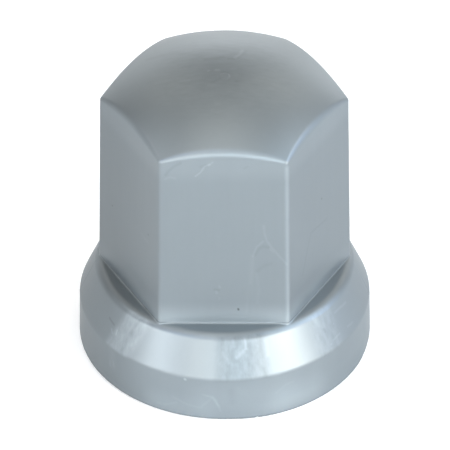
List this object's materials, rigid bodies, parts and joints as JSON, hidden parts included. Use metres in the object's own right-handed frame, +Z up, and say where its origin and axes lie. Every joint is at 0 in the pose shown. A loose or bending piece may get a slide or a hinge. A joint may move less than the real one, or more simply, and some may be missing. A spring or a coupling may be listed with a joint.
{
  "type": "wheel nut cover cap",
  "caption": "Push-on moulded plastic cap with a tapered hexagonal tower, a low domed crown and a flared round skirt, which covers a hexagonal wheel nut and its washer.",
  "frame": {"origin": "centre of the rim's lower face, which the cap stands on", "axes": "+Z up along the cap's axis from the rim to the crown, corners of the hexagonal tower along +X and -X, one flat of the tower facing -Y"},
  "size_m": [0.05, 0.05, 0.0538],
  "materials": {
    "silver_plastic": "satin silver-grey moulded plastic with a fine metallic flake and faint flow lines"
  },
  "bodies": {
    "root": {"nut_cap": "silver_plastic"}
  },
  "joints": []
}
